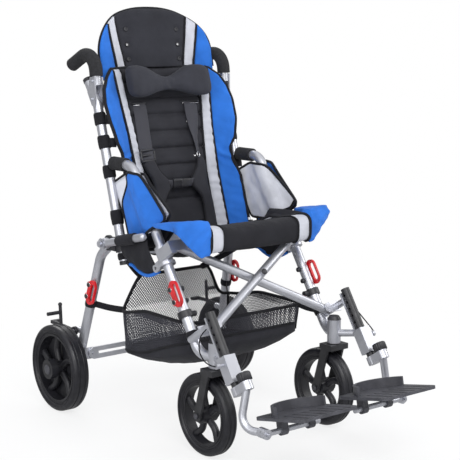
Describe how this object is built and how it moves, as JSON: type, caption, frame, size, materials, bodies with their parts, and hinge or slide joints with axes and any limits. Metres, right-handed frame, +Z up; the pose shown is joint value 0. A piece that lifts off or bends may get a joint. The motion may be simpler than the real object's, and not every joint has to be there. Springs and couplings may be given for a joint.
{
  "type": "special needs buggy",
  "caption": "Umbrella-folding mobility pushchair with a sling seat, tall padded back, head extension, harness, swivel casters, wheel locks, flip-up footplates and a cloth basket.",
  "frame": {"origin": "on the floor, at the middle of the overall length and width", "axes": "+Z up, -Y the way the rider faces, +X to the rider's left"},
  "size_m": [0.6366, 1.0054, 1.058],
  "materials": {
    "frame": "silver-grey satin paint on aluminium tube",
    "black_metal": "black satin paint",
    "tie_down": "red painted steel plate",
    "black_plastic": "moulded black plastic",
    "wheel": "moulded black wheel centre",
    "tyre": "dark grey solid tyre",
    "foam": "black foam",
    "black_cloth": "black woven cloth with binding",
    "charcoal_cloth": "charcoal cloth",
    "blue_cloth": "bright blue woven cloth, light grey stripe, black binding",
    "mesh": "grey open mesh walls with black binding and black floor"
  },
  "bodies": {
    "right_frame": {"right_front_leg": "frame", "right_receiver": "frame", "right_back_cane": "frame", "right_push_grip": "foam", "right_arm_grip": "foam", "right_rear_leg": "frame", "right_fittings": "black_plastic", "right_tie_downs": "tie_down", "right_bands": "black_cloth", "right_side_panel": "blue_cloth"},
    "right_sleeve": {"right_sleeve": "frame"},
    "right_rail": {"right_seat_rail": "frame", "right_rail_wrap": "black_cloth"},
    "right_caster": {"right_caster_fork": "black_plastic"},
    "right_caster_wheel": {"right_caster_rim": "wheel", "right_caster_tyre": "tyre"},
    "right_rear_wheel": {"right_rear_rim": "wheel", "right_rear_tyre": "tyre"},
    "right_lock": {"right_wheel_lock": "black_plastic"},
    "right_footrest": {"right_foot_tube": "black_metal", "right_foot_arm": "frame"},
    "right_flip": {"right_flip_bar": "frame"},
    "right_plate": {"right_footplate": "black_plastic"},
    "right_strut": {"right_strut": "frame"},
    "left_frame": {"left_front_leg": "frame", "left_receiver": "frame", "left_back_cane": "frame", "left_push_grip": "foam", "left_arm_grip": "foam", "left_rear_leg": "frame", "left_fittings": "black_plastic", "left_tie_downs": "tie_down", "left_bands": "black_cloth", "left_side_panel": "blue_cloth"},
    "left_sleeve": {"left_sleeve": "frame"},
    "left_rail": {"left_seat_rail": "frame", "left_rail_wrap": "black_cloth"},
    "left_caster": {"left_caster_fork": "black_plastic"},
    "left_caster_wheel": {"left_caster_rim": "wheel", "left_caster_tyre": "tyre"},
    "left_rear_wheel": {"left_rear_rim": "wheel", "left_rear_tyre": "tyre"},
    "left_lock": {"left_wheel_lock": "black_plastic"},
    "left_footrest": {"left_foot_tube": "black_metal", "left_foot_arm": "frame"},
    "left_flip": {"left_flip_bar": "frame"},
    "left_plate": {"left_footplate": "black_plastic"},
    "left_strut": {"left_strut": "frame"},
    "front_cross": {"front_cross_tube": "frame"},
    "rear_cross": {"rear_cross_tube": "frame"},
    "centre": {"back_sling": "black_cloth", "head_extension": "blue_cloth", "headrest": "charcoal_cloth", "harness": "black_cloth", "chest_buckle": "black_plastic", "basket": "mesh"},
    "seat": {"seat_sling": "black_cloth"}
  },
  "joints": [
    {"name": "fold", "type": "hinge", "parent": "right_frame", "child": "front_cross", "pos_m": [-0.186, -0.15532, 0.30924], "axis": [0, -0.8387, 0.5446], "range_deg": [0, 35.4], "deforming": ["seat_sling", "back_sling", "head_extension", "headrest", "harness", "chest_buckle", "basket", "right_side_panel", "left_side_panel", "right_rail_wrap", "left_rail_wrap"]},
    {"name": "cross_bolt", "type": "hinge", "parent": "front_cross", "child": "rear_cross", "pos_m": [0, -0.09541, 0.4015], "axis": [0, -0.8387, 0.5446], "range_deg": [-70.81, 0]},
    {"name": "left_lower_pivot", "type": "hinge", "parent": "rear_cross", "child": "left_frame", "pos_m": [0.186, -0.15532, 0.30924], "axis": [0, -0.8387, 0.5446], "range_deg": [0, 35.41]},
    {"name": "left_upper_pivot", "type": "hinge", "parent": "front_cross", "child": "left_sleeve", "pos_m": [0.186, -0.0355, 0.49375], "axis": [0, -0.8387, 0.5446], "range_deg": [-35.41, 0]},
    {"name": "right_upper_pivot", "type": "hinge", "parent": "rear_cross", "child": "right_sleeve", "pos_m": [-0.186, -0.0355, 0.49375], "axis": [0, -0.8387, 0.5446], "range_deg": [0, 35.41]},
    {"name": "sling_follow", "type": "slide", "parent": "right_frame", "child": "centre", "axis": [-1, 0, 0], "range_m": [0, 0.09831]},
    {"name": "seat_lift", "type": "hinge", "parent": "centre", "child": "seat", "pos_m": [0, 0.22767, 0.466], "axis": [-1, 0, 0], "range_deg": [0, 51.9]},
    {"name": "right_rail_hinge", "type": "hinge", "parent": "right_frame", "child": "right_rail", "pos_m": [-0.236, 0.22767, 0.466], "axis": [-1, 0, 0], "range_deg": [0, 51.9]},
    {"name": "right_strut_pivot", "type": "hinge", "parent": "right_frame", "child": "right_strut", "pos_m": [-0.214, 0.33067, 0.156], "axis": [0, -1, 0], "range_deg": [0, 57.31]},
    {"name": "right_footrest_height", "type": "slide", "parent": "right_frame", "child": "right_footrest", "axis": [0, 0.5446, 0.8387], "range_m": [-0.06, 0]},
    {"name": "right_plate_flip", "type": "hinge", "parent": "right_footrest", "child": "right_flip", "pos_m": [-0.213, -0.38633, 0.122], "axis": [0, -1, 0], "range_deg": [0, 90.1]},
    {"name": "right_plate_tilt", "type": "hinge", "parent": "right_flip", "child": "right_plate", "pos_m": [-0.126, -0.38633, 0.122], "axis": [1, 0, 0], "range_deg": [0, 15]},
    {"name": "right_caster_swivel", "type": "hinge", "parent": "right_frame", "child": "right_caster", "pos_m": [-0.188, -0.17233, 0.24], "axis": [0, 0, 1], "continuous": true},
    {"name": "right_caster_spin", "type": "hinge", "parent": "right_caster", "child": "right_caster_wheel", "pos_m": [-0.188, -0.13633, 0.1], "axis": [1, 0, 0], "continuous": true},
    {"name": "right_rear_spin", "type": "hinge", "parent": "right_frame", "child": "right_rear_wheel", "pos_m": [-0.28, 0.38767, 0.115], "axis": [1, 0, 0], "continuous": true},
    {"name": "right_lock_pedal", "type": "hinge", "parent": "right_frame", "child": "right_lock", "pos_m": [-0.246, 0.36467, 0.214], "axis": [-1, 0, 0], "range_deg": [0, 20]},
    {"name": "left_rail_hinge", "type": "hinge", "parent": "left_frame", "child": "left_rail", "pos_m": [0.236, 0.22767, 0.466], "axis": [-1, 0, 0], "range_deg": [0, 51.9]},
    {"name": "left_strut_pivot", "type": "hinge", "parent": "left_frame", "child": "left_strut", "pos_m": [0.214, 0.33067, 0.156], "axis": [0, 1, 0], "range_deg": [0, 57.31]},
    {"name": "left_footrest_height", "type": "slide", "parent": "left_frame", "child": "left_footrest", "axis": [0, 0.5446, 0.8387], "range_m": [-0.06, 0]},
    {"name": "left_plate_flip", "type": "hinge", "parent": "left_footrest", "child": "left_flip", "pos_m": [0.213, -0.38633, 0.122], "axis": [0, 1, 0], "range_deg": [0, 90.1]},
    {"name": "left_plate_tilt", "type": "hinge", "parent": "left_flip", "child": "left_plate", "pos_m": [0.126, -0.38633, 0.122], "axis": [1, 0, 0], "range_deg": [0, 15]},
    {"name": "left_caster_swivel", "type": "hinge", "parent": "left_frame", "child": "left_caster", "pos_m": [0.188, -0.17233, 0.24], "axis": [0, 0, 1], "continuous": true},
    {"name": "left_caster_spin", "type": "hinge", "parent": "left_caster", "child": "left_caster_wheel", "pos_m": [0.188, -0.13633, 0.1], "axis": [1, 0, 0], "continuous": true},
    {"name": "left_rear_spin", "type": "hinge", "parent": "left_frame", "child": "left_rear_wheel", "pos_m": [0.28, 0.38767, 0.115], "axis": [1, 0, 0], "continuous": true},
    {"name": "left_lock_pedal", "type": "hinge", "parent": "left_frame", "child": "left_lock", "pos_m": [0.246, 0.36467, 0.214], "axis": [-1, 0, 0], "range_deg": [0, 20]}
  ],
  "couplings": [
    {"joint": "cross_bolt", "follows": "fold", "ratio": -2},
    {"joint": "left_lower_pivot", "follows": "fold", "ratio": 1},
    {"joint": "left_upper_pivot", "follows": "fold", "ratio": -1},
    {"joint": "right_upper_pivot", "follows": "fold", "ratio": 1},
    {"joint": "sling_follow", "follows": "fold", "m_per_rad": 0.15879},
    {"joint": "seat_lift", "follows": "fold", "ratio": 1.4633},
    {"joint": "right_rail_hinge", "follows": "fold", "ratio": 1.4633},
    {"joint": "right_strut_pivot", "follows": "fold", "ratio": 1.6161},
    {"joint": "right_plate_flip", "follows": "fold", "ratio": 2.5424},
    {"joint": "left_rail_hinge", "follows": "fold", "ratio": 1.4633},
    {"joint": "left_strut_pivot", "follows": "fold", "ratio": 1.6161},
    {"joint": "left_plate_flip", "follows": "fold", "ratio": 2.5424}
  ]
}
